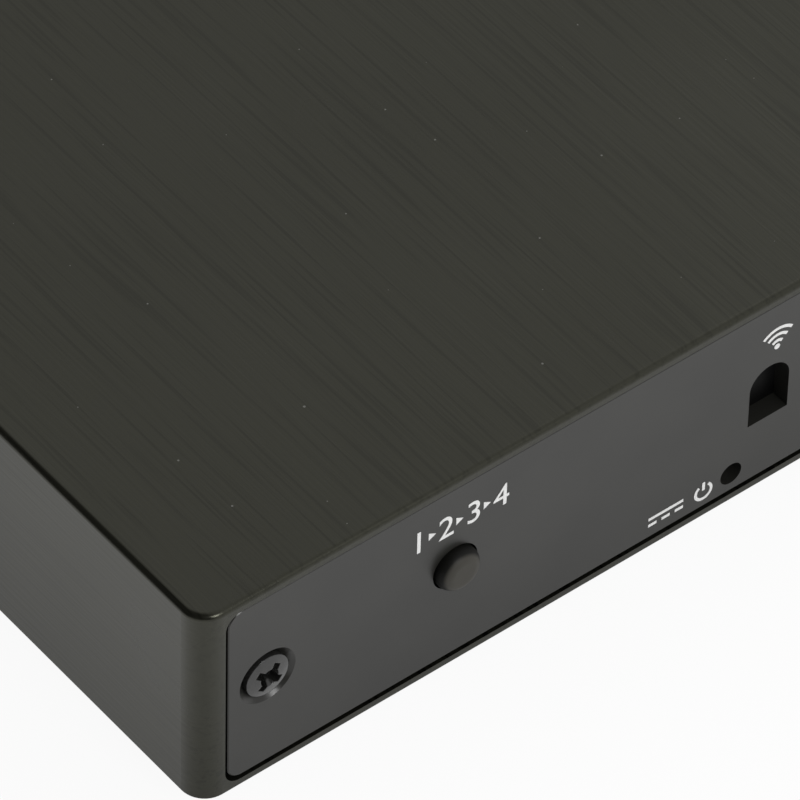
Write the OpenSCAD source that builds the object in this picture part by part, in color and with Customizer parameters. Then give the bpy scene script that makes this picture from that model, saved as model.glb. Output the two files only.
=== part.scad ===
// Video switch box: brushed sleeve housing with inset panels, a push button and rear sockets.
// Millimetres. +X to the right, +Y to the rear, +Z up. The feet stand on z = 0.

/* [Housing] */
// Width of the housing, left to right
body_w = 180; // [172:1:220]
// Depth of the housing, front to rear
body_d = 96; // [84:1:130]
// Height of the housing without its feet
body_h = 25; // [24:0.5:30]
// Thickness of the left and right walls
side_wall = 3; // [2.8:0.1:4]
// Thickness of the top wall
top_wall = 1.2; // [0.9:0.1:2]
// Thickness of the bottom wall
bottom_wall = 0.95; // [0.9:0.05:1.6]
// Radius of the four upright corners
corner_r = 2.7; // [1.5:0.1:2.8]
// Radius of the edge round the top
edge_r = 0.65; // [0.3:0.05:0.8]
// Radius of the edge round the bottom
low_edge_r = 0.3; // [0.1:0.05:0.8]
// Radius of the opening's corners at both ends
opening_r = 1.8; // [1:0.1:2.4]

/* [Panels] */
// Thickness of the front and rear panels
panel_t = 2; // [1.6:0.1:3]
// Gap between a panel and the side walls
panel_side_gap = 0.3; // [0.1:0.05:0.5]
// Gap under a panel
panel_low_gap = 0.55; // [0.1:0.05:0.9]
// Gap over a panel
panel_top_gap = 0.05; // [0.05:0.05:0.4]
// Difference between the radii of the opening's and a panel's corners
panel_corner_gap = 0.2; // [0.1:0.05:0.5]
// Chamfer round a panel's outer face
panel_chamfer = 0.1; // [0.05:0.05:0.5]

/* [Panel screws] */
// Distance of a screw from the side face of the housing
screw_in = 7.8; // [7:0.1:12]
// Height of the screws over the underside of the housing
screw_z = 13; // [11:0.1:16]
// Diameter of the screw thread
screw_d = 2.5; // [2:0.1:3.5]
// Diameter of the countersunk head
screw_head_d = 4.8; // [4:0.1:6]
// Diameter of the countersink at the panel's face
sink_d = 6.4; // [5.5:0.1:7]
// Height of the straight rim of the head
screw_rim = 0.75; // [0.3:0.05:0.9]
// Rise of the rounded crown over the head's rim
screw_crown = 0.4; // [0.2:0.05:0.8]
// Length of the cross recess in the head
recess_l = 3.2; // [2.4:0.1:3.6]
// Width of a wing of the cross recess
recess_w = 0.8; // [0.5:0.05:1]
// Depth of the cross recess under the crown
recess_h = 1.5; // [0.8:0.1:1.8]
// Turn of the cross recess
recess_turn = 37; // [0:1:89]
// Length of the screw shank behind the panel
screw_len = 8; // [5:0.5:14]
// Outer diameter of the screw ports in the housing
port_d = 6; // [5:0.1:8]
// Height of the web that carries a screw port
port_web = 4; // [2:0.1:5]

/* [Front layout] */
// Distance of the button from the left face
button_x = 29.5; // [20:0.1:45]
// Height of the button over the underside of the housing
button_z = 13.25; // [12:0.05:17]
// Distance of the infrared window from the left face
ir_x = 66.95; // [50:0.05:80]
// Height of the sill of the infrared window
ir_z = 9; // [8:0.05:12]
// Width of the infrared window
ir_w = 4.8; // [4:0.1:6]
// Height of the infrared window up to the top of its arch
ir_h = 6.9; // [5:0.05:9]
// Distance of the power light from the left face
led_x = 62.8; // [40:0.1:80]
// Height of the row of lights
led_z = 3.8; // [3.5:0.05:6]
// Diameter of the holes for the lights
led_d = 2.55; // [2:0.05:3.5]
// Distance of the first input light from the middle of the panel
led_first = 4; // [0:0.5:12]
// Spacing of the input lights
led_pitch = 16; // [8:0.5:20]
// Step of a light pipe's flange round its hole
pipe_step = 0.2; // [0.1:0.05:0.5]
// Thickness of the flanges of the light pipes and the window
flange_t = 0.8; // [0.5:0.1:1.2]
// Depth of the light pipes behind the panel's face
pipe_in = 1.4; // [0.2:0.1:1.6]

/* [Push button] */
// Diameter of the button
button_d = 4.8; // [4:0.1:5.2]
// Gap between the button and its hole
button_gap = 0.2; // [0.15:0.05:0.4]
// Height of the button over the panel
button_out = 1.4; // [1:0.1:2]
// Radius of the round edge of the button's end
button_round = 1.2; // [0.2:0.05:1.4]
// Travel of the button
button_travel = 0.3; // [0.2:0.05:0.5]
// Width of the flange that holds the button behind the panel
cap_flange_d = 7.4; // [6.5:0.1:9]
// Thickness of that flange
cap_flange_t = 0.9; // [0.6:0.1:1.5]
// Length of the button behind the panel
cap_len = 4; // [3:0.1:6]
// Diameter of the button's hub
hub_d = 5.4; // [5:0.1:6]
// Width of the tactile switch
tact_w = 12; // [9:0.5:13]
// Depth of the tactile switch
tact_t = 3.4; // [3:0.1:5]
// Diameter of the tactile switch's plunger
plunger_d = 3.4; // [2.5:0.1:4]
// Depth of the plunger in the button
plunger_in = 3; // [1.5:0.1:3.5]
// Sheet thickness of the switch bracket
bracket_t = 0.5; // [0.3:0.1:0.8]

/* [Infrared receiver] */
// Radius of the receiver's lens
ir_lens_r = 2.3; // [1.5:0.1:3]
// Width of the receiver's block
ir_block_w = 6.2; // [5.2:0.1:8]
// Depth of the receiver's block
ir_block_t = 2.2; // [1.5:0.1:4]
// Spacing of the receiver's leads
lead_pitch = 2.54; // [2:0.01:2.6]
// Thickness of the receiver's leads
lead_t = 0.5; // [0.4:0.05:0.6]

/* [Circuit board] */
// Thickness of the board
pcb_t = 1.6; // [1:0.1:2.4]
// Gap between the light pipes and the board over them
pipe_gap = 0.05; // [0:0.05:0.5]
// Thickness of the ribs that hold the board
rib_t = 1.2; // [0.8:0.1:2]
// Reach of the ribs from the side walls
rib_in = 2; // [1.5:0.1:2.5]

/* [Rear sockets] */
// Sheet thickness of the socket shells
socket_sheet = 0.4; // [0.3:0.05:0.6]
// Width of a socket shell
socket_w = 15; // [14.5:0.1:15.5]
// Height of a socket shell
socket_h = 5.6; // [5.3:0.1:6]
// Length of a socket shell
socket_l = 11.6; // [10:0.1:14]
// Width of the flat under a socket shell, between its slanted corners
socket_foot = 11.2; // [10:0.1:12]
// Height of the slanted corners of a socket shell
socket_side = 2.2; // [1.5:0.1:2.8]
// Width of a socket's tongue
tongue_w = 11; // [10:0.1:12]
// Thickness of a socket's tongue
tongue_t = 1.3; // [1:0.1:1.8]
// Height of the tongue over the board
tongue_z = 2.3; // [1.8:0.1:2.6]
// Depth of a socket's mouth in front of its back block
core_y = 8; // [6:0.1:9]
// Distance of the tongue's tip behind the mouth
tongue_in = 1; // [0.5:0.1:2]
// Width of a contact
contact_w = 0.44; // [0.3:0.02:0.6]
// Thickness of a contact
contact_t = 0.12; // [0.08:0.02:0.2]
// Spacing of the contacts
contact_pitch = 1; // [0.8:0.05:1.1]
// Distance that the sockets stand out of the rear panel
socket_out = 0.4; // [0.2:0.1:0.8]
// Gap between the sockets and the rear panel's cut-outs
socket_gap = 0.3; // [0.2:0.05:0.5]
// Diameter of the power jack's collar
dc_collar_d = 8; // [7.6:0.1:8.6]
// Bore of the power jack
dc_bore_d = 6.3; // [6:0.1:6.5]
// Diameter of the power jack's pin
dc_pin_d = 2; // [1.5:0.05:2.5]
// Distance of the power jack from the right face
dc_in = 18; // [16:0.5:24]
// Distance from the power jack to the output socket
output_step = 25; // [16:0.5:28]
// Extra space between the output socket and the first input socket
group_gap = 6; // [0:0.5:12]
// Distance of the last input socket from the left face
socket_in = 35; // [30:0.5:60]
// Width of the power jack's body
dc_w = 9; // [8.8:0.1:11]
// Height of the power jack's body
dc_h = 11; // [10.6:0.1:13]
// Depth of the power jack's body
dc_l = 10.5; // [10:0.1:14]
// Height of the power jack's axis over the board
dc_axis = 6.4; // [5:0.1:6.6]
// Depth of the power jack's bore
dc_bore_l = 10; // [8:0.1:11]

/* [Board parts] */
// Width of a light's body
led_w = 3.2; // [2:0.1:4]
// Length of a light's body
led_l = 1.8; // [1:0.1:3]
// Height of a light's body under the board
led_h = 2; // [1:0.1:2.2]
// Width of the switch chip
chip_w = 14; // [10:0.5:20]
// Height of the switch chip
chip_h = 1.4; // [0.8:0.1:2]
// Distance of the switch chip from the rear face
chip_in = 40; // [30:0.5:50]
// Size of the chamfered index corner of a chip
chip_mark = 0.6; // [0.3:0.1:1]
// Width of the microcontroller
micro_w = 7; // [4:0.5:10]
// Height of the microcontroller
micro_h = 1.2; // [0.8:0.1:2]
// Distance of the microcontroller and the crystal from the front face
micro_in = 30; // [22:0.5:36]
// Width of the power inductor
inductor_w = 6; // [4:0.5:10]
// Height of the power inductor
inductor_h = 3; // [2:0.1:5]
// Distance of the inductor and the capacitor from the rear face
power_in = 31; // [26:0.5:40]
// Diameter of the bulk capacitor
capacitor_d = 6.3; // [4:0.1:8]
// Height of the bulk capacitor over its base
capacitor_h = 4.8; // [4:0.1:8]
// Length of the crystal
crystal_l = 5; // [3:0.1:7]
// Width of the crystal
crystal_w = 3.2; // [2:0.1:5]
// Height of the crystal
crystal_h = 1; // [0.6:0.1:3]

/* [Feet] */
// Diameter of a foot
foot_d = 10; // [8:0.5:13]
// Height of a foot
foot_h = 2; // [1.5:0.1:4]
// Difference between a foot's diameters at its top and at its sole
foot_taper = 1; // [0.2:0.1:2]
// Distance of the feet from the sides of the housing
foot_in = 14; // [12:0.5:25]

/* [Hidden] */
$fn = 64;
x_left = -body_w / 2;
y_front = -(body_d + socket_out - button_out) / 2;
y_rear = y_front + body_d;
z_low = foot_h;
z_top = z_low + body_h;
y_panel = y_front + panel_t;
y_panel_rear = y_rear - panel_t;

// run of a cut past a face, and of a rib into its wall
past = 1;
bury = 0.5;

// opening through the sleeve
open_w = body_w - 2 * side_wall;
open_low = z_low + bottom_wall;
open_h = body_h - bottom_wall - top_wall;
panel_w = open_w - 2 * panel_side_gap;
panel_r = opening_r - panel_corner_gap;
panel_low = open_low + panel_low_gap;
panel_h = open_h - panel_low_gap - panel_top_gap;

// screws and their ports
screw_x = body_w / 2 - screw_in;
port_z = z_low + screw_z;
thread_gap = 0.1;
bore_d = screw_d + 2 * thread_gap;
hole_gap = 0.2;
hole_d = screw_d + 2 * hole_gap;
sink_h = (sink_d - hole_d) / 2;
seat_gap = 0.05;
head_drop = (sink_d - screw_head_d) / 2 - seat_gap;
head_cone = (screw_head_d - screw_d) / 2;
head_top = screw_rim + screw_crown;
flare_d = 2 * recess_l / 3;
crown_r = (pow(screw_head_d / 2, 2) + pow(screw_crown, 2)) / (2 * screw_crown);

// front layout in the part's frame
bx = x_left + button_x;
bz = z_low + button_z;
irx = x_left + ir_x;
irz = z_low + ir_z;
lz = z_low + led_z;
power_x = x_left + led_x;
input_x = [for (i = [0 : 3]) led_first + i * led_pitch];
pipe_flange_d = led_d + 2 * pipe_step;
pipe_fit = 0.05;

// board
board_gap = 0.3;
board_w = open_w - 2 * board_gap;
board_low = lz + pipe_flange_d / 2 + pipe_gap;
board_top = board_low + pcb_t;
board_front = y_panel + board_gap;
board_rear = y_panel_rear - board_gap;
slot_gap = 0.1;

// infrared receiver behind the window
lens_gap = 0.1;
ir_block_y = y_panel + flange_t + lens_gap + ir_lens_r;
ir_lead_y = ir_block_y + ir_block_t / 2;
ir_rim = 0.8;
ir_block_low = board_top + lead_t;
ir_block_top = irz + ir_h + ir_rim;
lead_gap = 0.2;

// tactile switch behind the button
cap_gap = 0.15;
hub_end = y_panel + cap_len;
stop_gap = 0.2;
tact_front = hub_end + button_travel + stop_gap;
tact_back = tact_front + tact_t;
tact_top = bz + tact_w / 2;
tact_h = tact_top - board_top;
plunger_gap = 0.05;
plunger_bore = 0.2;
plunger_seat = 1;
plunger_end = tact_front + plunger_seat;
cheek_in = 0.6;
leg_gap = 0.2;
leg_through = 0.6;
bracket_leg = 1.5;

// rear sockets, from the power jack at the right end to the first input
dc_x = body_w / 2 - dc_in;
output_x = dc_x - output_step;
input_span = output_x - group_gap - x_left - socket_in;
input_socket_x = [for (i = [1 : 4]) output_x - group_gap - i * input_span / 4];
slant = atan2(socket_side, (socket_w - socket_foot) / 2);
mouth_y = y_rear + socket_out;
leg_w = 1.2;
leg_y = [socket_out + panel_t + board_gap + leg_gap + leg_w, socket_l - 2 * leg_w];
leg_tip = 0.5;
tip_gap = 0.8;
dc_z = board_top + dc_axis;
dc_gap = 0.2;
spring_w = 2.4;
spring_l = 6.5;
spring_in = 0.6;
spring_t = 0.4;
spring_gap = 0.1;

// places of the board's parts
chip_y = y_rear - chip_in;
micro_y = y_front + micro_in;
power_y = y_rear - power_in;
base_rim = 0.15;
base_w = capacitor_d + 2 * base_rim;
base_h = 1;

// Quarter of a disc in the first quadrant
module quarter(r) {
    intersection() {
        circle(r);
        square(r);
    }
}

// Rounded rectangle about the origin, from rectangles and quarter discs that meet on straight lines
module round_rect(w, h, r) {
    translate([-w / 2 + r, -h / 2])
        square([w - 2 * r, h]);
    for (s = [0, 1])
        mirror([s, 0]) {
            translate([w / 2 - r, -h / 2 + r])
                square([r, h - 2 * r]);
            for (k = [0, 1])
                mirror([0, k])
                    translate([w / 2 - r, h / 2 - r])
                        quarter(r);
        }
}

// Slab of size w by h with corners of radius r; the 2-D child is the section of its rim,
// from x = 0 at the corner's centre out to x = r, and from y = 0 up to t
module rimmed_slab(w, h, r, t) {
    translate([-w / 2 + r, -h / 2 + r, 0])
        cube([w - 2 * r, h - 2 * r, t]);
    for (a = [0, 180])
        rotate(a) {
            translate([w / 2 - r, h / 2 - r, 0])
                rotate([90, 0, 0])
                    linear_extrude(h - 2 * r)
                        children();
            translate([-w / 2 + r, h / 2 - r, 0])
                rotate([90, 0, 90])
                    linear_extrude(w - 2 * r)
                        children();
            translate([w / 2 - r, h / 2 - r, 0])
                rotate_extrude(angle = 90)
                    children();
            translate([-w / 2 + r, h / 2 - r, 0])
                rotate(90)
                    rotate_extrude(angle = 90)
                        children();
        }
}

// Turns a drawing in x and y into one in x and z that is t deep, from y to y + t
module upright(y, t) {
    translate([0, y + t, 0])
        rotate([90, 0, 0])
            linear_extrude(t)
                children();
}

// Section of the housing's rim with its two rounded edges
module housing_rim() {
    translate([0, body_h - edge_r])
        square([corner_r - edge_r, edge_r]);
    translate([corner_r - edge_r, body_h - edge_r])
        quarter(edge_r);
    translate([0, low_edge_r])
        square([corner_r, body_h - edge_r - low_edge_r]);
    square([corner_r - low_edge_r, low_edge_r]);
    translate([corner_r - low_edge_r, low_edge_r])
        mirror([0, 1])
            quarter(low_edge_r);
}

// Section of a panel's rim with the chamfer of its outer face
module panel_rim() {
    polygon([
        [0, 0], [panel_r, 0], [panel_r, panel_t - panel_chamfer],
        [panel_r - panel_chamfer, panel_t], [0, panel_t]
    ]);
}

// Plate of a panel, its outer face towards -Y at y = 0
module panel_plate() {
    translate([0, panel_t, panel_low + panel_h / 2])
        rotate([90, 0, 0])
            rimmed_slab(panel_w, panel_h, panel_r, panel_t)
                panel_rim();
}

// Hole and countersink of a panel screw
module screw_hole() {
    rotate([-90, 0, 0]) {
        translate([0, 0, -past])
            cylinder(d = hole_d, h = panel_t + 2 * past);
        cylinder(d1 = sink_d, d2 = hole_d, h = sink_h);
        translate([0, 0, -past])
            cylinder(d = sink_d, h = past);
    }
}

// Cross recess of a screw, cut down from z = 0: two crossed wings and a tapered middle
module cross_recess() {
    for (a = [0, 90])
        rotate(recess_turn + a)
            translate([-recess_l / 2, -recess_w / 2, -past])
                cube([recess_l, recess_w, recess_h + past]);
    cylinder(d1 = flare_d, d2 = recess_w, h = recess_h);
    translate([0, 0, -past])
        cylinder(d = flare_d, h = past);
}

// Screw with a raised countersunk head, seated in the countersink of a panel whose face is at y = 0
module panel_screw() {
    rotate([-90, 0, 0])
        translate([0, 0, head_drop])
            difference() {
                union() {
                    cylinder(d1 = screw_head_d, d2 = screw_d, h = head_cone);
                    translate([0, 0, head_cone])
                        cylinder(d = screw_d, h = panel_t + screw_len - head_cone - head_drop);
                    translate([0, 0, -screw_rim])
                        cylinder(d = screw_head_d, h = screw_rim);
                    intersection() {
                        translate([0, 0, crown_r - head_top])
                            sphere(crown_r);
                        translate([0, 0, -head_top - past])
                            cylinder(d = screw_head_d, h = screw_crown + past);
                    }
                }
                translate([0, 0, -head_top])
                    cross_recess();
            }
}

// Arched outline of the infrared window, grown by g
module ir_outline(g) {
    r = ir_w / 2 + g;
    spring = irz + ir_h - ir_w / 2;
    translate([irx - r, irz - g])
        square([2 * r, spring - irz + g]);
    for (s = [0, 1])
        translate([irx, spring])
            mirror([s, 0])
                quarter(r);
}

// Outline of a socket shell, drawn in by t, with its base on the board
module socket_outline(t) {
    half = socket_w / 2 - t;
    base = socket_foot / 2 - t * tan(slant / 2);
    side = socket_side + t * tan((90 - slant) / 2);
    polygon([
        [-half, socket_h - t], [half, socket_h - t], [half, side],
        [base, t], [-base, t], [-half, side]
    ]);
}

module housing() {
    color([0.05, 0.05, 0.05]) {
        difference() {
            translate([0, y_front + body_d / 2, z_low])
                rimmed_slab(body_w, body_d, corner_r, body_h)
                    housing_rim();
            translate([0, 0, open_low + open_h / 2])
                upright(y_front - past, body_d + 2 * past)
                    round_rect(open_w, open_h, opening_r);
        }
        for (s = [0, 1])
            mirror([s, 0, 0]) {
                // screw port on its web
                difference() {
                    union() {
                        translate([screw_x, 0, port_z])
                            upright(y_panel, body_d - 2 * panel_t)
                                circle(d = port_d);
                        translate([screw_x, y_panel, port_z - port_web / 2])
                            cube([screw_in - side_wall + bury, body_d - 2 * panel_t, port_web]);
                    }
                    translate([screw_x, 0, port_z])
                        upright(y_panel - past, body_d)
                            circle(d = bore_d);
                }
                // ribs under and over the board's edge
                for (z = [board_low - rib_t, board_top + slot_gap])
                    translate([open_w / 2 - rib_in, y_panel, z])
                        cube([rib_in + bury, body_d - 2 * panel_t, rib_t]);
            }
    }
}

module front_panel() {
    color([0.09, 0.09, 0.09])
        difference() {
            translate([0, y_front, 0])
                panel_plate();
            for (s = [-1, 1])
                translate([s * screw_x, y_front, port_z])
                    screw_hole();
            translate([bx, 0, bz])
                upright(y_front - past, panel_t + 2 * past)
                    circle(d = button_d + 2 * button_gap);
            upright(y_front - past, panel_t + 2 * past)
                ir_outline(0);
            for (x = concat([power_x], input_x))
                translate([x, 0, lz])
                    upright(y_front - past, panel_t + 2 * past)
                        circle(d = led_d);
        }
}

module rear_panel() {
    color([0.09, 0.09, 0.09])
        difference() {
            translate([0, y_rear, 0])
                mirror([0, 1, 0])
                    panel_plate();
            for (s = [-1, 1])
                translate([s * screw_x, y_rear, port_z])
                    mirror([0, 1, 0])
                        screw_hole();
            for (x = concat([output_x], input_socket_x))
                translate([x, 0, board_top])
                    upright(y_panel_rear - past, panel_t + 2 * past)
                        socket_outline(-socket_gap);
            translate([dc_x, 0, dc_z])
                upright(y_panel_rear - past, panel_t + 2 * past)
                    circle(d = dc_collar_d + 2 * socket_gap);
        }
}

module front_panel_screws() {
    color([0.04, 0.04, 0.04])
        for (s = [-1, 1])
            translate([s * screw_x, y_front, port_z])
                panel_screw();
}

module rear_panel_screws() {
    color([0.04, 0.04, 0.04])
        for (s = [-1, 1])
            translate([s * screw_x, y_rear, port_z])
                mirror([0, 1, 0])
                    panel_screw();
}

module foot(i) {
    sx = i % 2 == 1 ? -1 : 1;
    y = i < 3 ? y_front + foot_in : y_rear - foot_in;
    color([0.03, 0.03, 0.03])
        translate([sx * (body_w / 2 - foot_in), y, 0]) {
            cylinder(d1 = foot_d - foot_taper, d2 = foot_d, h = foot_h / 2);
            translate([0, 0, foot_h / 2])
                cylinder(d = foot_d, h = foot_h / 2);
        }
}

module circuit_board() {
    color([0.02, 0.2, 0.1])
        difference() {
            translate([-board_w / 2, board_front, board_low])
                cube([board_w, board_rear - board_front, pcb_t]);
            // slots for the legs of the socket shells
            for (x = concat([output_x], input_socket_x))
                for (s = [-1, 1])
                    for (y = leg_y)
                        translate([x + s * (socket_w - socket_sheet) / 2, mouth_y - y, board_low - past])
                            translate([-socket_sheet / 2 - leg_gap, -leg_w / 2 - leg_gap, 0])
                                cube([socket_sheet + 2 * leg_gap, leg_w + 2 * leg_gap, pcb_t + 2 * past]);
            // slots for the legs of the switch bracket
            for (s = [-1, 1])
                translate([bx + s * (tact_w + bracket_t) / 2, tact_back + bracket_t, board_low - past])
                    translate([-bracket_t / 2 - leg_gap, -bracket_leg - leg_gap, 0])
                        cube([bracket_t + 2 * leg_gap, bracket_leg + 2 * leg_gap, pcb_t + 2 * past]);
            // holes for the leads of the infrared receiver
            for (i = [-1 : 1])
                translate([irx + i * lead_pitch, ir_lead_y, board_low - past])
                    translate([-lead_t / 2 - lead_gap, -lead_t / 2 - lead_gap, 0])
                        cube([lead_t + 2 * lead_gap, lead_t + 2 * lead_gap, pcb_t + 2 * past]);
        }
}

// Half section of the button's end with its round edge
module button_end() {
    square([button_d / 2 - button_round, button_round]);
    translate([button_d / 2 - button_round, button_round])
        mirror([0, 1])
            quarter(button_round);
}

module switch_button() {
    color([0.03, 0.03, 0.03])
        translate([bx, 0, bz])
            rotate([-90, 0, 0])
                difference() {
                    union() {
                        translate([0, 0, y_front - button_out])
                            rotate_extrude()
                                button_end();
                        translate([0, 0, y_front - button_out + button_round])
                            cylinder(d = button_d, h = button_out - button_round + panel_t + cap_gap);
                        translate([0, 0, y_panel + cap_gap])
                            cylinder(d = cap_flange_d, h = cap_flange_t);
                        translate([0, 0, y_panel + cap_gap + cap_flange_t])
                            cylinder(d = hub_d, h = hub_end - y_panel - cap_gap - cap_flange_t);
                    }
                    translate([0, 0, hub_end - plunger_in])
                        cylinder(d = plunger_d + 2 * plunger_gap, h = plunger_in + past);
                }
}

module tact_plunger() {
    color([0.1, 0.1, 0.1])
        translate([bx, hub_end - plunger_in, bz])
            rotate([-90, 0, 0])
                cylinder(d = plunger_d, h = plunger_end - hub_end + plunger_in);
}

module tact_body() {
    color([0.06, 0.06, 0.06])
        difference() {
            translate([bx - tact_w / 2, tact_front, board_top])
                cube([tact_w, tact_t, tact_h]);
            translate([bx, 0, bz])
                upright(tact_front - past, plunger_seat + button_travel + stop_gap + past)
                    circle(d = plunger_d + 2 * plunger_bore);
        }
}

module tact_bracket() {
    color([0.7, 0.7, 0.7]) {
        translate([bx - tact_w / 2 - bracket_t, tact_back, board_top])
            cube([tact_w + 2 * bracket_t, bracket_t, tact_h]);
        for (s = [-1, 1])
            translate([bx + s * (tact_w + bracket_t) / 2 - bracket_t / 2, 0, 0]) {
                translate([0, tact_front + cheek_in, board_top])
                    cube([bracket_t, tact_t - cheek_in, tact_h]);
                translate([0, tact_back + bracket_t - bracket_leg, board_low - leg_through])
                    cube([bracket_t, bracket_leg, pcb_t + leg_through]);
            }
    }
}

module ir_window() {
    color([0.02, 0.01, 0.02])
        upright(y_panel, flange_t)
            ir_outline(ir_rim);
}

module ir_receiver() {
    lens_z = irz + ir_h / 2;
    color([0.04, 0.04, 0.05]) {
        translate([irx - ir_block_w / 2, ir_block_y, ir_block_low])
            cube([ir_block_w, ir_block_t, ir_block_top - ir_block_low]);
        intersection() {
            translate([irx, ir_block_y, lens_z])
                sphere(ir_lens_r);
            translate([irx - 2 * ir_lens_r, ir_block_y - 2 * ir_lens_r, lens_z - 2 * ir_lens_r])
                cube([4 * ir_lens_r, 2 * ir_lens_r, 4 * ir_lens_r]);
        }
    }
}

module ir_leads() {
    color([0.8, 0.8, 0.8])
        for (i = [-1 : 1])
            translate([irx + i * lead_pitch - lead_t / 2, ir_lead_y - lead_t / 2, board_low - leg_through])
                cube([lead_t, lead_t, ir_block_low - board_low + leg_through]);
}

module light_pipe(x) {
    color([0.03, 0.03, 0.03])
        translate([x, 0, lz]) {
            upright(y_front + pipe_in, panel_t - pipe_in)
                circle(d = led_d - 2 * pipe_fit);
            upright(y_panel, flange_t)
                circle(d = pipe_flange_d);
        }
}

module led(x) {
    color([0.9, 0.9, 0.85])
        translate([x - led_w / 2, y_panel + flange_t + lens_gap, board_low - led_h])
            cube([led_w, led_l, led_h]);
}

// Folded steel shell of a video socket with four legs
module socket_shell(x) {
    color([0.75, 0.75, 0.75])
        translate([x, 0, board_top]) {
            difference() {
                upright(mouth_y - socket_l, socket_l)
                    socket_outline(0);
                upright(mouth_y - socket_l + socket_sheet, socket_l)
                    socket_outline(socket_sheet);
            }
            for (s = [0, 1])
                mirror([s, 0, 0])
                    for (y = leg_y)
                        translate([socket_w / 2 - socket_sheet, mouth_y - y - leg_w / 2, -pcb_t - leg_tip])
                            cube([socket_sheet, leg_w, pcb_t + leg_tip + socket_side + leg_w]);
        }
}

// Moulded core of a video socket: back block and tongue
module socket_core(x) {
    color([0.03, 0.03, 0.03])
        translate([x, 0, board_top]) {
            upright(mouth_y - socket_l + socket_sheet, socket_l - socket_sheet - core_y)
                socket_outline(socket_sheet);
            translate([-tongue_w / 2, mouth_y - core_y, tongue_z])
                cube([tongue_w, core_y - tongue_in, tongue_t]);
        }
}

// Contacts on both faces of the tongue
module socket_contacts(x) {
    color([0.8, 0.65, 0.3])
        translate([x, mouth_y - core_y, board_top]) {
            for (i = [0 : 9])
                translate([(i - 4.5) * contact_pitch - contact_w / 2, 0, tongue_z + tongue_t])
                    cube([contact_w, core_y - tongue_in - tip_gap, contact_t]);
            for (i = [0 : 8])
                translate([(i - 4) * contact_pitch - contact_w / 2, 0, tongue_z - contact_t])
                    cube([contact_w, core_y - tongue_in - tip_gap, contact_t]);
        }
}

module dc_jack_body() {
    color([0.03, 0.03, 0.03])
        difference() {
            union() {
                translate([dc_x - dc_w / 2, y_panel_rear - dc_gap - dc_l, board_top])
                    cube([dc_w, dc_l, dc_h]);
                translate([dc_x, 0, dc_z])
                    upright(y_panel_rear - dc_gap, panel_t + socket_out + dc_gap)
                        circle(d = dc_collar_d);
            }
            translate([dc_x, 0, dc_z])
                upright(mouth_y - dc_bore_l, dc_bore_l + past)
                    circle(d = dc_bore_d);
            translate([dc_x - spring_w / 2, mouth_y - dc_bore_l, dc_z])
                cube([spring_w, spring_l, dc_bore_d / 2 + spring_in]);
        }
}

module dc_jack_pin() {
    color([0.8, 0.8, 0.75])
        translate([dc_x, 0, dc_z])
            upright(mouth_y - dc_bore_l, dc_bore_l - tongue_in)
                circle(d = dc_pin_d);
}

module dc_jack_spring() {
    color([0.8, 0.8, 0.75])
        translate([dc_x - spring_w / 2, mouth_y - dc_bore_l, dc_z + dc_bore_d / 2 + spring_in - spring_t])
            translate([spring_gap, spring_gap, 0])
                cube([spring_w - 2 * spring_gap, spring_l - 2 * spring_gap, spring_t]);
}

// Square flat chip package with a chamfered index corner
module chip(x, y, w, h) {
    color([0.05, 0.05, 0.05])
        translate([x, y, board_top])
            linear_extrude(h)
                polygon([
                    [-w / 2, -w / 2], [w / 2, -w / 2], [w / 2, w / 2],
                    [-w / 2 + chip_mark, w / 2], [-w / 2, w / 2 - chip_mark]
                ]);
}

module switch_chip() {
    chip(input_socket_x[1], chip_y, chip_w, chip_h);
}

module microcontroller() {
    chip(input_x[1], micro_y, micro_w, micro_h);
}

module power_inductor() {
    color([0.15, 0.15, 0.15])
        translate([dc_x - inductor_w / 2, power_y - inductor_w / 2, board_top])
            cube([inductor_w, inductor_w, inductor_h]);
}

module bulk_capacitor() {
    color([0.75, 0.75, 0.75])
        translate([dc_x - 2 * inductor_w, power_y, board_top]) {
            translate([-base_w / 2, -base_w / 2, 0])
                cube([base_w, base_w, base_h]);
            translate([0, 0, base_h])
                cylinder(d = capacitor_d, h = capacitor_h);
        }
}

module crystal() {
    color([0.75, 0.75, 0.75])
        translate([input_x[0] - crystal_l / 2, micro_y - crystal_w / 2, board_top])
            cube([crystal_l, crystal_w, crystal_h]);
}

housing();
front_panel();
rear_panel();
front_panel_screws();
rear_panel_screws();
for (i = [1 : 4])
    foot(i);
circuit_board();
switch_button();
tact_plunger();
tact_body();
tact_bracket();
ir_window();
ir_receiver();
ir_leads();
light_pipe(power_x);  // power_light_pipe
for (i = [1 : 4])
    light_pipe(input_x[i - 1]);
led(power_x);  // power_led
for (i = [1 : 4])
    led(input_x[i - 1]);
for (i = [1 : 4])
    socket_shell(input_socket_x[i - 1]);
socket_shell(output_x);  // output_shell
for (i = [1 : 4])
    socket_core(input_socket_x[i - 1]);
socket_core(output_x);  // output_core
for (i = [1 : 4])
    socket_contacts(input_socket_x[i - 1]);
socket_contacts(output_x);  // output_contacts
dc_jack_body();
dc_jack_pin();
dc_jack_spring();
switch_chip();
microcontroller();
power_inductor();
bulk_capacitor();
crystal();
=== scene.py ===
# %% [markdown]
# # A low black box for switching video sources
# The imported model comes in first. Its pieces already have their true size and place, in metres, so this
# lesson only dresses them: finishes, printed signs, a floor, light and a camera.

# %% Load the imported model
import math

import bpy
from mathutils import Matrix, Vector


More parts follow.
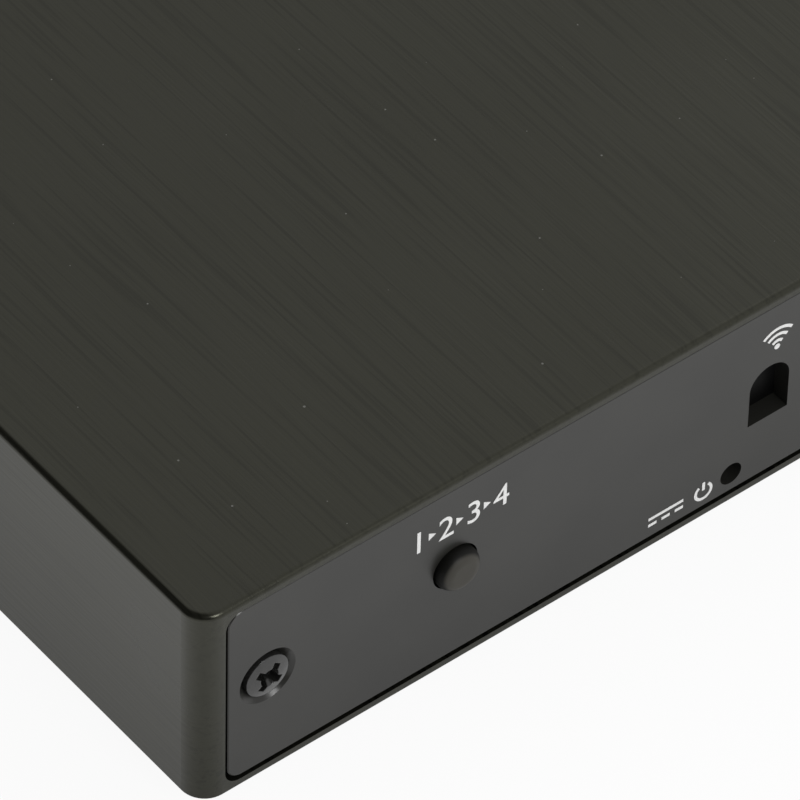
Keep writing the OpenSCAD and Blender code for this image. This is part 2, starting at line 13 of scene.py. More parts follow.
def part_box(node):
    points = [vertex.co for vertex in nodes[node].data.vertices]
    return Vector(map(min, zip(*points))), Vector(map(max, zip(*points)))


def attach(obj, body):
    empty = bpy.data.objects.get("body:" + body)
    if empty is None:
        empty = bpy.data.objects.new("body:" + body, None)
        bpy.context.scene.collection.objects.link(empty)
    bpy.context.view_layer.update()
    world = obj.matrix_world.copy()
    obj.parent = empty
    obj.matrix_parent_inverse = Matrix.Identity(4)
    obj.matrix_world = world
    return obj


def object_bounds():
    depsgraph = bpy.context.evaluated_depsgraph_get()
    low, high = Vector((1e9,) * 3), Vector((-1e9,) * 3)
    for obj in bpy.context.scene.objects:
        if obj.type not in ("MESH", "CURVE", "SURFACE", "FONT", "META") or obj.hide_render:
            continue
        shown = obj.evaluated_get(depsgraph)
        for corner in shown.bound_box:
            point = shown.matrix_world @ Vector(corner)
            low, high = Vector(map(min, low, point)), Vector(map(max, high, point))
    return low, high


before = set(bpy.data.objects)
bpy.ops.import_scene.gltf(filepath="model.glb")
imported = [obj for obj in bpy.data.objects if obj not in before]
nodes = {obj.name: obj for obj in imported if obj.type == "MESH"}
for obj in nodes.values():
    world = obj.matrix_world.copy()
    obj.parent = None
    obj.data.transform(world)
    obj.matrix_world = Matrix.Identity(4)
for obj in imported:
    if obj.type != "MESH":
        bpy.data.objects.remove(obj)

cad_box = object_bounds()
MM = 0.001
INPUTS = range(1, 5)
print("pieces in the frame:", len(nodes))

# %% [markdown]
# ## The camera
# The photograph was taken with a long lens from the front left, looking down. A long lens keeps edges
# almost parallel. A camera can be aimed by hand, or with a constraint. Here it is placed by the point it
# looks at, its distance, two angles and a small roll, because these can be read from the photograph one
# at a time.

# %% Camera
VIEW_AZIMUTH = math.radians(39.33)
VIEW_ELEVATION = math.radians(46.82)
VIEW_ROLL = math.radians(1.43)
VIEW_DISTANCE = 845.6 * MM
VIEW_POINT = Vector((-59.23, -37.38, 28.05)) * MM
LENS = 417.5
SENSOR = 36.0
CLIP_END = 20.0


def add_camera():
    flat = math.cos(VIEW_ELEVATION)
    back = Vector((-math.sin(VIEW_AZIMUTH) * flat, -math.cos(VIEW_AZIMUTH) * flat, math.sin(VIEW_ELEVATION)))
    level = Vector((math.cos(VIEW_AZIMUTH), -math.sin(VIEW_AZIMUTH), 0))
    rise = back.cross(level)
    right = level * math.cos(VIEW_ROLL) + rise * math.sin(VIEW_ROLL)
    up = rise * math.cos(VIEW_ROLL) - level * math.sin(VIEW_ROLL)
    turn = Matrix((right, up, back)).transposed().to_4x4()
    bpy.ops.object.select_all(action="DESELECT")
    bpy.ops.object.camera_add()
    camera = bpy.context.object
    camera.name = "view"
    camera.data.lens = LENS
    camera.data.sensor_width = SENSOR
    camera.data.clip_end = CLIP_END
    camera.matrix_world = Matrix.Translation(VIEW_POINT + back * VIEW_DISTANCE) @ turn
    return camera


camera = add_camera()
bpy.context.scene.camera = camera
bpy.context.scene.view_settings.view_transform = "Standard"
print("camera at", [round(v, 3) for v in camera.location])

# %% [markdown]
# ## Tools for finishes
# Each finish is a small network of shader nodes. A picture could be wrapped round the piece, but a
# network needs no unwrapping. It reads Object coordinates, which are metres in the model's own frame, so
# a brush line or a grain has its real size on every piece. Values that are the same all over sit on the
# shader itself.

# %% Helpers for finishes
EDGE_SAMPLES = 8


def new_finish(name, base, roughness, specular=0.5, metallic=0.0):
    material = bpy.data.materials.new(name)
    material.use_nodes = True
    tree = material.node_tree
    shader = tree.nodes["Principled BSDF"]
    shader.inputs["Base Color"].default_value = (*base, 1)
    shader.inputs["Roughness"].default_value = roughness
    shader.inputs["Specular IOR Level"].default_value = specular
    shader.inputs["Metallic"].default_value = metallic
    return material, tree, shader


def object_place(tree, size_mm, shift=0.0):
    coords = tree.nodes.new("ShaderNodeTexCoord")
    mapping = tree.nodes.new("ShaderNodeMapping")
    mapping.inputs["Scale"].default_value = [1 / (s * MM) for s in size_mm]
    mapping.inputs["Location"].default_value = (shift, shift, shift)
    tree.links.new(coords.outputs["Object"], mapping.inputs["Vector"])
    return mapping.outputs["Vector"]


def noise(tree, size_mm, detail=2.0, shift=0.0):
    texture = tree.nodes.new("ShaderNodeTexNoise")
    texture.inputs["Scale"].default_value = 1
    texture.inputs["Detail"].default_value = detail
    tree.links.new(object_place(tree, size_mm, shift), texture.inputs["Vector"])
    return texture.outputs["Fac"]


def ramp(tree, value, stops):
    node = tree.nodes.new("ShaderNodeValToRGB")
    points = node.color_ramp.elements
    while len(points) < len(stops):
        points.new(0.5)
    for point, (place, colour) in zip(points, stops):
        point.position = place
        point.color = (*colour, 1)
    tree.links.new(value, node.inputs["Fac"])
    return node.outputs["Color"]


def math_node(tree, operation, *values):
    """A node that works out one number; each value is a socket or a constant."""
    node = tree.nodes.new("ShaderNodeMath")
    node.operation = operation
    for socket, value in zip(node.inputs, values):
        if isinstance(value, (int, float)):
            socket.default_value = value
        else:
            tree.links.new(value, socket)
    return node.outputs[0]


def grey(value):
    return (value, value, value)


def shade(colour, factor):
    return tuple(c * factor for c in colour)


def bump(tree, shader, height, strength, depth_mm, edge_mm=0.0):
    """Raises the surface by a height; with an edge size, sharp edges are also shaded as round."""
    node = tree.nodes.new("ShaderNodeBump")
    node.inputs["Strength"].default_value = strength
    node.inputs["Distance"].default_value = depth_mm * MM
    tree.links.new(height, node.inputs["Height"])
    tree.links.new(node.outputs["Normal"], shader.inputs["Normal"])
    if edge_mm:
        rounding = tree.nodes.new("ShaderNodeBevel")
        rounding.samples = EDGE_SAMPLES
        rounding.inputs["Radius"].default_value = edge_mm * MM
        tree.links.new(rounding.outputs["Normal"], node.inputs["Normal"])


def dress(material, *names):
    for name in names:
        slots = nodes[name].data.materials
        slots.clear()
        slots.append(material)
    print(material.name, "on", len(names), "pieces")


print("finish tools work in metres; the box is", round((cad_box[1][0] - cad_box[0][0]) / MM, 1), "mm wide")

# %% [markdown]
# ## Brushed black metal
# The sleeve of the box is aluminium, brushed from front to rear and dyed black. Its colour is almost
# nothing: what the eye sees is the room and the table mirrored in it, a little yellow. The brush lines
# could be an image, but noise stretched along Y gives lines of any length that never repeat. Only the
# lowest values of the noise become dark lines, because on the real lid they are few and faint. A second,
# finer noise tilts the surface like hairs. Tiny pale specks of dust lie on the lid: spots round scattered
# points, kept where the surface looks up.

# %% Brushed black finish
HOUSING_BASE = (0.0075, 0.0075, 0.0055)
HOUSING_ROUGHNESS = (0.27, 0.33)
HOUSING_TINT = (1.0, 1.0, 0.80, 1.0)
LINE_SIZE = (0.42, 19, 0.42)
LINE_TONE = 0.1
LINE_STOPS = (0.34, 0.46)
HAIR_SIZE = (0.36, 13, 0.36)
HAIR_DEPTH = 0.03
HAIR_STRENGTH = 0.42
SMUDGE_SIZE = (26, 34, 26)
NOISE_STOPS = (0.3, 0.7)
DUST_SPACING = 11.0
DUST_RADIUS = 0.13
DUST_TONE = (0.12, 0.12, 0.115)
FACES_UP = 0.9


def dust_mask(tree):
    cells = tree.nodes.new("ShaderNodeTexVoronoi")
    cells.voronoi_dimensions = "2D"
    cells.inputs["Scale"].default_value = 1
    tree.links.new(object_place(tree, [DUST_SPACING] * 3), cells.inputs["Vector"])
    split = tree.nodes.new("ShaderNodeSeparateColor")
    tree.links.new(cells.outputs["Color"], split.inputs["Color"])
    reach = math_node(tree, "MULTIPLY", split.outputs["Red"], DUST_RADIUS / DUST_SPACING)
    near = math_node(tree, "LESS_THAN", cells.outputs["Distance"], reach)
    surface = tree.nodes.new("ShaderNodeNewGeometry")
    axes = tree.nodes.new("ShaderNodeSeparateXYZ")
    tree.links.new(surface.outputs["Normal"], axes.inputs[0])
    upward = math_node(tree, "GREATER_THAN", axes.outputs["Z"], FACES_UP)
    return math_node(tree, "MULTIPLY", near, upward)


def brushed_black():
    material, tree, shader = new_finish("brushed_black", HOUSING_BASE, HOUSING_ROUGHNESS[0])
    shader.inputs["Specular Tint"].default_value = HOUSING_TINT
    lines = noise(tree, LINE_SIZE, detail=1.5)
    tone = ramp(tree, lines, list(zip(LINE_STOPS, (shade(HOUSING_BASE, LINE_TONE), HOUSING_BASE))))
    mix = tree.nodes.new("ShaderNodeMix")
    mix.data_type = "RGBA"
    mix.inputs["B"].default_value = (*DUST_TONE, 1)
    tree.links.new(dust_mask(tree), mix.inputs["Factor"])
    tree.links.new(tone, mix.inputs["A"])
    tree.links.new(mix.outputs["Result"], shader.inputs["Base Color"])
    smudges = noise(tree, SMUDGE_SIZE, detail=2, shift=5)
    gloss = ramp(tree, smudges, list(zip(NOISE_STOPS, map(grey, HOUSING_ROUGHNESS))))
    tree.links.new(gloss, shader.inputs["Roughness"])
    bump(tree, shader, noise(tree, HAIR_SIZE, detail=2, shift=3), HAIR_STRENGTH, HAIR_DEPTH)
    return material


dress(brushed_black(), "housing")

# %% [markdown]
# ## Satin black panels
# The front and rear plates are finely blasted before they are dyed, so they have no lines, only a grain
# far smaller than a millimetre. A little more colour shows in them than in the sleeve.

# %% Satin black finish
PANEL_BASE = (0.0215, 0.0212, 0.0185)
PANEL_ROUGHNESS = 0.3
PANEL_SPECULAR = 0.46
PANEL_GRAIN = (0.11, 0.11, 0.11)
PANEL_CLOUDS = (9, 9, 9)
PANEL_SHADES = (0.85, 1.15)
PANEL_RELIEF = 0.05
PANEL_DEPTH = 0.01


def satin_black():
    material, tree, shader = new_finish("satin_black", PANEL_BASE, PANEL_ROUGHNESS, PANEL_SPECULAR)
    grain = noise(tree, PANEL_GRAIN, detail=2)
    clouds = noise(tree, PANEL_CLOUDS, detail=2, shift=2)
    shades = [shade(PANEL_BASE, part) for part in PANEL_SHADES]
    tone = ramp(tree, clouds, list(zip(NOISE_STOPS, shades)))
    tree.links.new(tone, shader.inputs["Base Color"])
    bump(tree, shader, grain, PANEL_RELIEF, PANEL_DEPTH)
    return material


dress(satin_black(), "front_panel", "rear_panel")

# %% [markdown]
# ## The smaller finishes
# Most other pieces are moulded plastic, rubber or plated metal. They differ in colour, gloss and grain,
# so one function makes them all: a noise of the grain's size shifts the colour between two shades, and
# the same noise raises the surface a little. The screws are pressed and tumbled, so the rims of their
# heads are not sharp. A bevel modifier would cut every rim back, but a bevel node, which only bends the
# shading near an edge, is enough at this size and leaves the mesh alone.

# %% Grained finishes
GRAIN_HEIGHT = 0.1
SCREW_EDGE = 0.14


def grained(name, base, roughness, grain_mm, spread=0.2, relief=0.1, specular=0.5, metallic=0.0,
            edge_mm=0.0):
    material, tree, shader = new_finish(name, base, roughness, specular, metallic)
    grain = noise(tree, [grain_mm] * 3, detail=3)
    shades = (shade(base, 1 - spread), shade(base, 1 + spread))
    tone = ramp(tree, grain, list(zip(NOISE_STOPS, shades)))
    tree.links.new(tone, shader.inputs["Base Color"])
    bump(tree, shader, grain, relief, grain_mm * GRAIN_HEIGHT, edge_mm)
    return material


def numbered(stem):
    return [stem % i for i in INPUTS]


shells = numbered("input_shell_%d") + ["output_shell"]
cores = numbered("input_core_%d") + ["output_core"]
contacts = numbered("input_contacts_%d") + ["output_contacts"]

dress(grained("black_screw", base=(0.02, 0.02, 0.019), roughness=0.16, grain_mm=0.6, specular=0.7,
              edge_mm=SCREW_EDGE), "front_panel_screws", "rear_panel_screws")
dress(grained("black_rubber", base=grey(0.012), roughness=0.75, grain_mm=0.3, relief=0.2),
      *numbered("foot_%d"))
dress(grained("smoked_window", base=grey(0.002), roughness=0.45, grain_mm=0.8, specular=0.12),
      "ir_window", "ir_receiver")
dress(grained("smoked_pipe", base=grey(0.004), roughness=0.4, grain_mm=0.5, specular=0.15),
      "power_light_pipe", *numbered("input_light_pipe_%d"))
dress(grained("white_lamp", base=(0.8, 0.8, 0.74), roughness=0.4, grain_mm=0.4, spread=0.05),
      "power_led", *numbered("input_led_%d"))
dress(grained("nickel_plate", base=(0.62, 0.61, 0.58), roughness=0.24, grain_mm=1.2, spread=0.06,
              relief=0.04, metallic=1.0), "tact_bracket", "ir_leads", *shells)
dress(grained("gold_plate", base=(0.83, 0.62, 0.26), roughness=0.2, grain_mm=0.5, spread=0.06,
              relief=0.03, metallic=1.0), "dc_jack_pin", "dc_jack_spring", *contacts)
dress(grained("socket_moulding", base=grey(0.014), roughness=0.5, grain_mm=0.3), "dc_jack_body", *cores)
dress(grained("switch_moulding", base=grey(0.03), roughness=0.5, grain_mm=0.3), "tact_body", "tact_plunger")
dress(grained("chip_moulding", base=(0.028, 0.028, 0.03), roughness=0.6, grain_mm=0.2),
      "switch_chip", "microcontroller", "power_inductor")
dress(grained("bare_can", base=(0.7, 0.7, 0.71), roughness=0.3, grain_mm=0.8, spread=0.05, metallic=1.0),
      "bulk_capacitor", "crystal")
dress(grained("green_mask", base=(0.012, 0.11, 0.045), roughness=0.35, grain_mm=1.5, spread=0.15),
      "circuit_board")

# %% [markdown]
# The button's end faces the bright table, and its wall faces the dark side of the room. The colour
# carries that light: the end has a painted highlight, the wall a painted shade. Two pieces could show
# this, but the button is one moulding, so a ramp along Y goes from the end's tone to the wall's within
# half a millimetre of the tip.

# %% Button finish with a painted highlight and painted shade
# Painted light: the end's tone is a painted highlight, the wall's tone a painted shade.
BUTTON_LIT_END = (0.060, 0.057, 0.049)
BUTTON_SHADED_WALL = (0.006, 0.006, 0.005)
BUTTON_SHADE_SPAN = (0.22 * MM, 0.50 * MM)
BUTTON_GRAIN = (0.25, 0.25, 0.25)
BUTTON_ROUGHNESS = 0.5
BUTTON_SPECULAR = 0.16
BUTTON_RELIEF = 0.06
BUTTON_DEPTH = 0.025


def worn_button():
    material, tree, shader = new_finish("button_plastic", BUTTON_LIT_END, BUTTON_ROUGHNESS, BUTTON_SPECULAR)
    coords = tree.nodes.new("ShaderNodeTexCoord")
    axes = tree.nodes.new("ShaderNodeSeparateXYZ")
    tree.links.new(coords.outputs["Object"], axes.inputs[0])
    behind_tip = math_node(tree, "SUBTRACT", axes.outputs["Y"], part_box("switch_button")[0].y)
    lit_to_shaded = tree.nodes.new("ShaderNodeMapRange")
    lit_to_shaded.inputs["From Min"].default_value = BUTTON_SHADE_SPAN[0]
    lit_to_shaded.inputs["From Max"].default_value = BUTTON_SHADE_SPAN[1]
    tree.links.new(behind_tip, lit_to_shaded.inputs["Value"])
    # The ramp paints the end pale, as lit, and the wall dark, as shaded.
    tone = ramp(tree, lit_to_shaded.outputs["Result"], [(0, BUTTON_LIT_END), (1, BUTTON_SHADED_WALL)])
    tree.links.new(tone, shader.inputs["Base Color"])
    bump(tree, shader, noise(tree, BUTTON_GRAIN), BUTTON_RELIEF, BUTTON_DEPTH)
    return material


dress(worn_button(), "switch_button")

# %% [markdown]
# ## Printed signs
# White signs are printed on both panels. They could be painted into the panel's finish, but a thin raised
# layer of ink stays sharp and is a shape of its own. Every sign is drawn flat, from strokes, bars, arrows
# and numbers, and is then stood up against its panel. All signs are plain: numbers, arrows, a power sign,
# a wave sign.

# %% Drawing tools for signs
INK = 0.03 * MM
STROKE = 0.42 * MM
THIN = STROKE * 0.85
FINE = STROKE * 0.8
ARC_STEPS = 40
front_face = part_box("front_panel")[0].y
rear_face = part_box("rear_panel")[1].y
print("signs lie on", round(front_face / MM, 2), "and", round(rear_face / MM, 2), "mm")


def flat_start():
    if bpy.context.object and bpy.context.object.mode != "OBJECT":
        bpy.ops.object.mode_set(mode="OBJECT")
    bpy.ops.object.select_all(action="DESELECT")


def pick(piece, test):
    """Enters edit mode with only the corners that pass the test selected."""
    bpy.ops.object.mode_set(mode="EDIT")
    bpy.ops.mesh.select_all(action="DESELECT")
    bpy.ops.object.mode_set(mode="OBJECT")
    for vertex in piece.data.vertices:
        vertex.select = test(vertex.co)
    bpy.ops.object.mode_set(mode="EDIT")


def thicken(piece):
    bpy.ops.object.mode_set(mode="EDIT")
    bpy.ops.mesh.select_all(action="SELECT")
    bpy.ops.mesh.extrude_region_move(TRANSFORM_OT_translate={"value": (0, 0, INK)})
    bpy.ops.mesh.select_all(action="SELECT")
    bpy.ops.mesh.normals_make_consistent(inside=False)
    bpy.ops.object.mode_set(mode="OBJECT")
    return piece


def bar(x, y, width, height):
    flat_start()
    bpy.ops.mesh.primitive_plane_add(size=1, location=(x, y, 0))
    piece = bpy.context.object
    piece.scale = (width, height, 1)
    bpy.ops.object.transform_apply(location=True, rotation=True, scale=True)
    return thicken(piece)


def dot(x, y, radius, corners=24, turn=0.0):
    flat_start()
    bpy.ops.mesh.primitive_circle_add(vertices=corners, radius=radius, fill_type="NGON", location=(x, y, 0))
    piece = bpy.context.object
    piece.rotation_euler = (0, 0, turn)
    bpy.ops.object.transform_apply(location=True, rotation=True, scale=True)
    return thicken(piece)


def arc(x, y, radius, start, sweep, width=STROKE):
    """A stroke along an arc: one short edge, spun about the centre."""
    flat_start()
    bpy.ops.mesh.primitive_plane_add(size=width, location=(radius, width / 2, 0))
    piece = bpy.context.object
    bpy.ops.object.transform_apply(location=True, rotation=True, scale=True)
    pick(piece, lambda place: place.y > width / 2)
    bpy.ops.mesh.delete(type="VERT")
    bpy.ops.mesh.select_all(action="SELECT")
    bpy.ops.mesh.spin(steps=ARC_STEPS, angle=-sweep, center=(0, 0, 0), axis=(0, 0, 1))
    bpy.ops.object.mode_set(mode="OBJECT")
    piece.location = (x, y, 0)
    piece.rotation_euler = (0, 0, start)
    bpy.ops.object.transform_apply(location=True, rotation=True, scale=True)
    return thicken(piece)


def number(text, x, y, height):
    """A plain number, its middle at x and y."""
    flat_start()
    bpy.ops.object.text_add()
    piece = bpy.context.object
    piece.data.body = text
    piece.data.extrude = 0.5
    bpy.ops.object.convert(target="MESH")
    piece = bpy.context.object
    corners = [v.co for v in piece.data.vertices]
    low = Vector([min(c[k] for c in corners) for k in range(3)])
    high = Vector([max(c[k] for c in corners) for k in range(3)])
    size = height / (high.y - low.y)
    middle = (low + high) / 2
    piece.scale = (size, size, INK / (high.z - low.z))
    piece.location = (x - middle.x * size, y - middle.y * size, INK / 2)
    bpy.ops.object.transform_apply(location=True, rotation=True, scale=True)
    return piece


def place_sign(name, strokes, x, z, rear=False):
    """Joins the strokes to one sign and stands it on the front or the rear panel."""
    flat_start()
    for stroke in strokes:
        stroke.select_set(True)
    sign = strokes[0]
    bpy.context.view_layer.objects.active = sign
    if len(strokes) > 1:
        bpy.ops.object.join()
    sign.name = name
    sign.data.name = name
    sign.rotation_euler = (math.pi / 2, 0, math.pi if rear else 0)
    sign.location = (x, rear_face if rear else front_face, z)
    bpy.ops.object.transform_apply(location=True, rotation=True, scale=True)
    sign.data.materials.clear()
    sign.data.materials.append(white_ink)
    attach(sign, "case")
    return sign


white_ink = grained("white_ink", base=(0.93, 0.93, 0.92), roughness=0.5,
                    grain_mm=0.3, spread=0.03, relief=0.05)


def middle_of(name):
    low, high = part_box(name)
    return (low + high) / 2


# %% [markdown]
# ### Signs on the front
# Over the button stands the row of sources that it steps through, with arrows between the numbers. Over
# the infrared window a dot with three waves stands for the remote control. Left of the power light are a
# power sign and the bars of direct current. Each input light has its number.

# %% Front signs
ROW_RISE = 6.06 * MM
ROW_RIGHT = 0.4 * MM
ROW_HEIGHT = 2.75 * MM
ROW_STEP = 3.2 * MM
ARROW_RADIUS = 0.55 * MM
ARROW_BACK = 0.18 * MM
WAVE_RISE = 6.7 * MM
WAVE_RIGHT = 0.65 * MM
WAVE_FOOT = -1.05 * MM
WAVE_DOT = 0.34 * MM
WAVE_STEP = 0.8 * MM
POWER_SIGN_OUT = 3.35 * MM
POWER_SIGN_RADIUS = 0.95 * MM
POWER_SIGN_GAP = math.radians(36)
POWER_SIGN_DROP = 0.25 * MM
DIRECT_OUT = 7.9 * MM
DIRECT_WIDTH = 4.2 * MM
DIRECT_DASH = 1.0 * MM
DIRECT_APART = 0.42 * MM
INPUT_NUMBER_RISE = 3.1 * MM
INPUT_NUMBER_HEIGHT = 2.0 * MM


def source_row():
    strokes = []
    for i in INPUTS:
        x = (i - 2.5) * ROW_STEP
        strokes.append(number(str(i), x, 0, ROW_HEIGHT))
        if i < len(INPUTS):
            strokes.append(dot(x + ROW_STEP / 2 - ARROW_BACK, 0, ARROW_RADIUS, corners=3, turn=-math.pi / 2))
    return strokes


def waves():
    quarter = math.pi / 2
    strokes = [dot(0, WAVE_FOOT, WAVE_DOT)]
    for k in (1, 2, 3):
        strokes.append(arc(0, WAVE_FOOT, k * WAVE_STEP, quarter / 2, quarter, THIN))
    return strokes


def power_sign(radius):
    start = math.pi / 2 + POWER_SIGN_GAP
    ring = arc(0, 0, radius, start, 2 * math.pi - 2 * POWER_SIGN_GAP, FINE)
    return [ring, bar(0, radius * 0.75, FINE, radius * 1.1)]


def direct_bars(width):
    strokes = [bar(0, DIRECT_APART, width, THIN)]
    for k in (-1, 0, 1):
        strokes.append(bar(k * (width - DIRECT_DASH) / 2, -DIRECT_APART, DIRECT_DASH, THIN))
    return strokes


button_middle = middle_of("switch_button")
window_middle = middle_of("ir_window")
power_middle = middle_of("power_light_pipe")
place_sign("button_sign", source_row(), button_middle.x + ROW_RIGHT, button_middle.z + ROW_RISE)
place_sign("remote_sign", waves(), window_middle.x + WAVE_RIGHT, window_middle.z + WAVE_RISE)
sign_height = power_middle.z - POWER_SIGN_DROP
place_sign("power_sign", power_sign(POWER_SIGN_RADIUS), power_middle.x - POWER_SIGN_OUT, sign_height)
place_sign("direct_current_sign", direct_bars(DIRECT_WIDTH), power_middle.x - DIRECT_OUT, sign_height)
for i in INPUTS:
    light = middle_of("input_light_pipe_%d" % i)
    place_sign("input_number_%d" % i, [number(str(i), 0, 0, INPUT_NUMBER_HEIGHT)],
               light.x, light.z + INPUT_NUMBER_RISE)
print("front signs over", [round(v / MM, 1) for v in button_middle])

# %% [markdown]
# ### Signs on the rear
# A reader who plugs in a cable from behind needs to know which socket is which. Over each input stands
# its number and an arrow that points in, over the output an arrow that points out, and over the power
# jack the usual picture of a plug's poles: a dot in an open ring.

# %% Rear signs
SOCKET_SIGN_RISE = 5.4 * MM
JACK_SIGN_RISE = 7.3 * MM
SOCKET_NUMBER_HEIGHT = 2.3 * MM
SOCKET_NUMBER_OUT = -0.9 * MM
SOCKET_ARROW_OUT = 1.3 * MM
HEAD_RADIUS = 0.75 * MM
STEM_LENGTH = 1.5 * MM
STEM_MIDDLE = 0.4 * MM
POLE_RADIUS = 0.95 * MM
POLE_OPEN_FROM = math.radians(50)
POLE_SWEEP = math.radians(260)
POLE_DOT = 0.4 * MM
POLE_LINE = STROKE * 0.7
POLE_WIRE_OUT = 1.5 * MM
POLE_WIRE = 0.9 * MM
POLE_MARK_OUT = 2.8 * MM
POLE_MARK = 1.0 * MM


def stem_arrow(x, down):
    way = -1 if down else 1
    head = dot(x, way * HEAD_RADIUS, HEAD_RADIUS, corners=3, turn=math.pi if down else 0)
    return [head, bar(x, -way * STEM_MIDDLE, STROKE, STEM_LENGTH)]


def pole_sign():
    strokes = [arc(0, 0, POLE_RADIUS, POLE_OPEN_FROM, POLE_SWEEP, FINE), dot(0, 0, POLE_DOT)]
    for side in (-1, 1):
        strokes.append(bar(side * POLE_WIRE_OUT, 0, POLE_WIRE, POLE_LINE))
        strokes.append(bar(side * POLE_MARK_OUT, 0, POLE_MARK, POLE_LINE))
    strokes.append(bar(POLE_MARK_OUT, 0, POLE_LINE, POLE_MARK))
    return strokes


for i in INPUTS:
    shell = middle_of("input_shell_%d" % i)
    strokes = [number(str(i), SOCKET_NUMBER_OUT, 0, SOCKET_NUMBER_HEIGHT)]
    strokes += stem_arrow(SOCKET_ARROW_OUT, True)
    place_sign("socket_number_%d" % i, strokes, shell.x, shell.z + SOCKET_SIGN_RISE, rear=True)
shell = middle_of("output_shell")
place_sign("output_sign", stem_arrow(0, False), shell.x, shell.z + SOCKET_SIGN_RISE, rear=True)
jack = middle_of("dc_jack_pin")
place_sign("pole_sign", pole_sign(), jack.x, jack.z + JACK_SIGN_RISE, rear=True)
print("rear signs on", round(rear_face / MM, 2), "mm")

# %% [markdown]
# ## Floor, light and surroundings
# The box stands on a white table. Its front and side mirror the table, and its lid mirrors the bright
# side of the room. The table is part matt paint and part plain glow, so that it looks white from
# everywhere and still keeps the shadow under the box. Mirrored in the box, the table darkens towards the
# foot of the walls, where the box hides half of the room's light. That falloff could be left to many
# bounces of light, but a glow that fades with the distance from the walls gives it without grain. From
# below, the table is clear, like a glass top, so that the feet can be looked at.

# %% Floor
FLOOR_SIZE = 6.0
FLOOR_DROP = 0.02 * MM
TABLE_WHITE = 0.86
GLOW_SEEN = 0.94
GLOW_SEEN_STRENGTH = 1.0
GLOW_AT_WALL = 0.63
GLOW_IN_OPEN = 0.92
SHADE_REACH = 19.0 * MM
# Painted shade: far to the left the mirrored glow fades, for the table on the room's dark side.
LEFT_SHADE_SPAN = (-0.30, -0.16)
GLOW_IN_LEFT_SHADE = 0.12


def mirrored_glow(tree):
    """Glow of the table in reflections, with painted shade near the walls of the box and far to the left."""
    coords = tree.nodes.new("ShaderNodeTexCoord")
    axes = tree.nodes.new("ShaderNodeSeparateXYZ")
    tree.links.new(coords.outputs["Object"], axes.inputs[0])
    low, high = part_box("housing")
    half = (high - low) / 2
    middle = (high + low) / 2
    out_x = math_node(tree, "SUBTRACT", math_node(tree, "ABSOLUTE", axes.outputs["X"]), half.x)
    shifted = math_node(tree, "SUBTRACT", axes.outputs["Y"], middle.y)
    out_y = math_node(tree, "SUBTRACT", math_node(tree, "ABSOLUTE", shifted), half.y)
    reach = tree.nodes.new("ShaderNodeMapRange")
    reach.interpolation_type = "LINEAR"
    reach.inputs["From Max"].default_value = SHADE_REACH
    reach.inputs["To Min"].default_value = GLOW_AT_WALL
    reach.inputs["To Max"].default_value = GLOW_IN_OPEN
    tree.links.new(math_node(tree, "MAXIMUM", out_x, out_y), reach.inputs["Value"])
    # Painted shade: the mirrored glow fades towards the dark left side of the room.
    end = tree.nodes.new("ShaderNodeMapRange")
    end.inputs["From Min"].default_value = LEFT_SHADE_SPAN[0]
    end.inputs["From Max"].default_value = LEFT_SHADE_SPAN[1]
    end.inputs["To Min"].default_value = GLOW_IN_LEFT_SHADE
    tree.links.new(axes.outputs["X"], end.inputs["Value"])
    return math_node(tree, "MULTIPLY", reach.outputs["Result"], end.outputs["Result"])


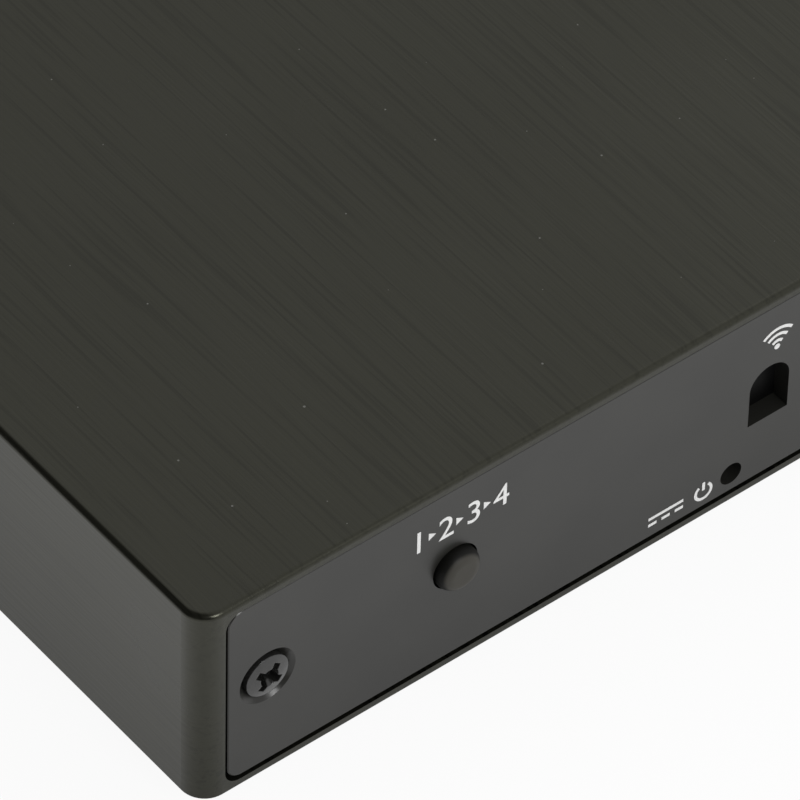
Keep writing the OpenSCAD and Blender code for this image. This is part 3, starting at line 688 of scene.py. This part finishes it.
def add_floor():
    flat_start()
    bpy.ops.mesh.primitive_plane_add(size=FLOOR_SIZE, location=(0, 0, cad_box[0][2] - FLOOR_DROP))
    floor = bpy.context.object
    floor.name = "floor"
    material = bpy.data.materials.new("white_table")
    material.use_nodes = True
    tree = material.node_tree
    tree.nodes.clear()
    output = tree.nodes.new("ShaderNodeOutputMaterial")
    path = tree.nodes.new("ShaderNodeLightPath")
    seen = path.outputs["Is Camera Ray"]
    mirrored = math_node(tree, "MAXIMUM", path.outputs["Is Glossy Ray"], path.outputs["Is Transmission Ray"])
    share = math_node(tree, "MAXIMUM", math_node(tree, "MULTIPLY", seen, GLOW_SEEN), mirrored)
    strength = tree.nodes.new("ShaderNodeMix")
    strength.inputs["B"].default_value = GLOW_SEEN_STRENGTH
    tree.links.new(seen, strength.inputs["Factor"])
    tree.links.new(mirrored_glow(tree), strength.inputs["A"])
    matt = tree.nodes.new("ShaderNodeBsdfDiffuse")
    matt.inputs["Color"].default_value = (*grey(TABLE_WHITE), 1)
    glow = tree.nodes.new("ShaderNodeEmission")
    tree.links.new(strength.outputs["Result"], glow.inputs["Strength"])
    mix = tree.nodes.new("ShaderNodeMixShader")
    tree.links.new(share, mix.inputs["Fac"])
    tree.links.new(matt.outputs[0], mix.inputs[1])
    tree.links.new(glow.outputs[0], mix.inputs[2])
    clear = tree.nodes.new("ShaderNodeBsdfTransparent")
    under = tree.nodes.new("ShaderNodeMixShader")
    surface = tree.nodes.new("ShaderNodeNewGeometry")
    tree.links.new(surface.outputs["Backfacing"], under.inputs["Fac"])
    tree.links.new(mix.outputs[0], under.inputs[1])
    tree.links.new(clear.outputs[0], under.inputs[2])
    tree.links.new(under.outputs[0], output.inputs["Surface"])
    floor.data.materials.append(material)
    return floor


floor = add_floor()
print("floor at", round(floor.location.z, 4))

# %% [markdown]
# The room is bright on the right, like a wall of windows, and dark on the left. The dark side shows in
# the photograph as a dark line along the rounded left edge of the lid, between the lid and the bright
# side.

# %% Surroundings
ROOM_DARK = 0.09
ROOM_BRIGHT = 0.70
DARK_SIDE = 0.47
BRIGHT_SIDE = 0.60


def add_room():
    world = bpy.data.worlds.new("room")
    bpy.context.scene.world = world
    world.use_nodes = True
    tree = world.node_tree
    coords = tree.nodes.new("ShaderNodeTexCoord")
    split = tree.nodes.new("ShaderNodeSeparateXYZ")
    tree.links.new(coords.outputs["Generated"], split.inputs[0])
    half = math_node(tree, "MULTIPLY_ADD", split.outputs["X"], 0.5, 0.5)
    tone = ramp(tree, half, [(DARK_SIDE, grey(ROOM_DARK)), (BRIGHT_SIDE, grey(ROOM_BRIGHT))])
    tree.links.new(tone, tree.nodes["Background"].inputs["Color"])


add_room()
print("room from", ROOM_DARK, "on the left to", ROOM_BRIGHT, "on the right")

# %% [markdown]
# Two round softboxes stand in for the studio's lamps. The large one, behind on the right, lights the lid
# evenly. The small one in front puts a glint in the sink of each screw. A point lamp would also light the
# box, but its shadows would be hard and its glints tiny.

# %% Lamps
KEY_PLACE = (1.35, 0.35, 0.95)
KEY_SIZE = 0.8
KEY_POWER = 12.0
FRONT_PLACE = (-0.04, -1.0, 0.66)
FRONT_SIZE = 0.42
FRONT_POWER = 5.0


def add_softbox(name, place, size, power):
    flat_start()
    bpy.ops.object.light_add(type="AREA", location=place)
    lamp = bpy.context.object
    lamp.name = name
    lamp.data.shape = "DISK"
    lamp.data.size = size
    lamp.data.energy = power
    lamp.rotation_euler = (-Vector(place)).to_track_quat("-Z", "Y").to_euler()
    return lamp


add_softbox("key", KEY_PLACE, KEY_SIZE, KEY_POWER)
add_softbox("front_lamp", FRONT_PLACE, FRONT_SIZE, FRONT_POWER)
